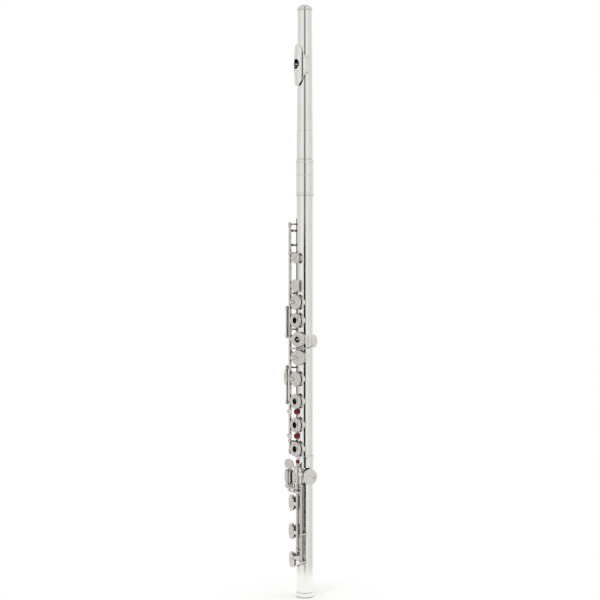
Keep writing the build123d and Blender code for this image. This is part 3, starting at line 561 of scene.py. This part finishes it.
# Brightness of the walls by degrees to the viewer's right of straight behind the viewer.
ROOM_BANDS = {
    -180: 0.74, -130: 0.72, -103: 0.70, -82: 0.74, -66: 0.72, -56: 0.80, -49: 0.96, -42: 0.84, -33: 0.78,
    -19: 0.76, -10.5: 0.72, 10.5: 0.76, 24: 0.84, 38: 0.84, 54: 0.74, 70: 0.73, 89: 0.71, 111: 0.68,
    142: 0.86, 180: 0.78,
}
# Brightness of the walls from the floor (0) to the ceiling (1).
ROOM_HEIGHTS = {0.0: 0.70, 0.22: 0.86, 0.42: 1.0, 0.60: 1.0, 0.80: 0.92, 1.0: 0.80}
# The room's dark strip, straight behind the viewer; slopes are those of the reflected ray.
STRIP_JOIN = (0.045, 0.065)            # slopes between the keys' part of the strip and the head's
STRIP_HALF = (0.225, 0.125)            # half widths of the two parts, radians
STRIP_EDGE = 0.05                      # radians over which its edge fades
STRIP_LOW = (0.006, 0.012, 0.010, 1)   # colour beside the keys
STRIP_HIGH = (0.09, 0.095, 0.09, 1)    # colour beside the head joint
STRIP_FOOT = (-0.199, -0.203)          # slopes over which it ends, above the open end
STRIP_END = 0.86                       # brightness that takes its place below that


def bright_room():
    """White studio: the reflected bands run round the viewer, a narrow dark one straight behind."""
    world = bpy.data.worlds.new("studio")
    bpy.context.scene.world = world
    s = Shader(world)
    way = s.add("ShaderNodeTexCoord").outputs["Generated"]
    turn = s.math("ARCTAN2", s.dot(way, VIEWER_RIGHT), s.dot(way, TOWARDS_VIEWER))
    share = s.math("ADD", s.math("DIVIDE", turn, 2 * math.pi), 0.5)
    bands = s.ramp(share, [(degrees / 360 + 0.5, (level, level, level * 0.985, 1))
                           for degrees, level in ROOM_BANDS.items()])
    slope = s.dot(way, (0, 0, 1))
    half = s.remap(slope, *STRIP_JOIN, *STRIP_HALF)
    beyond = s.remap(s.math("SUBTRACT", s.math("ABSOLUTE", turn), half), 0.0, STRIP_EDGE)
    dark = s.mix(s.remap(slope, *STRIP_JOIN), STRIP_LOW, STRIP_HIGH)
    strip = s.mix(s.remap(slope, *STRIP_FOOT), dark, grey(STRIP_END))
    walls = s.mix(beyond, strip, bands)
    heights = s.ramp(s.remap(slope, -1.0, 1.0), [(rise, grey(level)) for rise, level in ROOM_HEIGHTS.items()])
    reflected = s.mix(1.0, walls, heights, "MULTIPLY")
    straight = s.add("ShaderNodeLightPath").outputs["Is Camera Ray"]
    colour = s.mix(straight, reflected, grey(1.0))
    room = s.add("ShaderNodeBackground", Color=colour, Strength=1.0)
    s.add("ShaderNodeOutputWorld", Surface=room.outputs[0])


def pale_floor():
    """Seamless white table under the foot end."""
    mesh = bpy.data.meshes.new("floor")
    corners = [(across * FLOOR_HALF, along * FLOOR_HALF, -FLOOR_DROP)
               for across, along in ((-1, -1), (1, -1), (1, 1), (-1, 1))]
    mesh.from_pydata(corners, [], [(0, 1, 2, 3)])
    floor = bpy.data.objects.new("floor", mesh)
    bpy.context.scene.collection.objects.link(floor)
    s = material("pale_floor")
    place = s.add("ShaderNodeTexCoord").outputs["Object"]
    far = s.length(place)
    mottle = s.noise(place, 30.0, 3.0)
    paint = s.mix(mottle, grey(0.93), grey(0.96))
    card = s.add("ShaderNodeBsdfDiffuse", Color=paint)
    glow = s.add("ShaderNodeEmission", Color=grey(1.0), Strength=0.22)
    lit = s.add("ShaderNodeAddShader", card.outputs[0], glow.outputs[0])
    clear = s.add("ShaderNodeBsdfTransparent")
    rays = s.add("ShaderNodeLightPath").outputs
    outside = s.remap(far, FLOOR_WHITE_REACH * 0.8, FLOOR_WHITE_REACH * 1.3)
    beyond = s.math("MULTIPLY", rays["Is Glossy Ray"], outside, clamp=True)
    seen = s.math("MULTIPLY", rays["Is Camera Ray"], s.remap(far, *FLOOR_FADE), clamp=True)
    white = s.add("ShaderNodeEmission", Color=grey(1.0), Strength=1.0)
    faded = s.add("ShaderNodeMixShader", seen, lit.outputs[0], white.outputs[0])
    both = s.add("ShaderNodeMixShader", beyond, faded.outputs[0], clear.outputs[0])
    mesh.materials.append(close(s, both.outputs[0]))


def soft_light(name, bearing, height, away, size, power):
    """Large softbox aimed at the middle of the flute; it shades but isn't mirrored."""
    turn = math.radians(bearing)
    lamp = bpy.data.lights.new(name, "AREA")
    lamp.shape = "RECTANGLE"
    lamp.size, lamp.size_y = size
    lamp.energy = power
    lamp.color = (1.0, 0.985, 0.96)
    holder = bpy.data.objects.new(name, lamp)
    holder.location = (away * math.sin(turn), -away * math.cos(turn), height)
    aim = Vector((0, 0, VIEW_HEIGHT)) - holder.location
    holder.rotation_euler = aim.to_track_quat("-Z", "Y").to_euler()
    holder.visible_glossy = False
    holder.visible_camera = False
    bpy.context.scene.collection.objects.link(holder)


def place_camera():
    sensor = 36.0
    lens = bpy.data.cameras.new("viewer")
    lens.sensor_width = sensor
    lens.lens = sensor * VIEW_DISTANCE / FRAME_TALL
    lens.clip_start = 0.05
    lens.clip_end = 50.0
    camera = bpy.data.objects.new("viewer", lens)
    camera.location = TOWARDS_VIEWER * VIEW_DISTANCE - VIEWER_RIGHT * VIEW_ASIDE + Vector((0, 0, VIEW_HEIGHT))
    camera.rotation_euler = (-TOWARDS_VIEWER).to_track_quat("-Z", "Y").to_euler()
    bpy.context.scene.collection.objects.link(camera)
    bpy.context.scene.camera = camera


bright_room()
pale_floor()
soft_light("key", 20.0, 1.3, 1.6, (1.2, 0.9), 9.0)
soft_light("fill", 130.0, 0.9, 1.8, (1.4, 1.2), 5.0)
place_camera()
bpy.context.scene.view_settings.view_transform = "Standard"
bpy.context.scene.view_settings.look = "None"
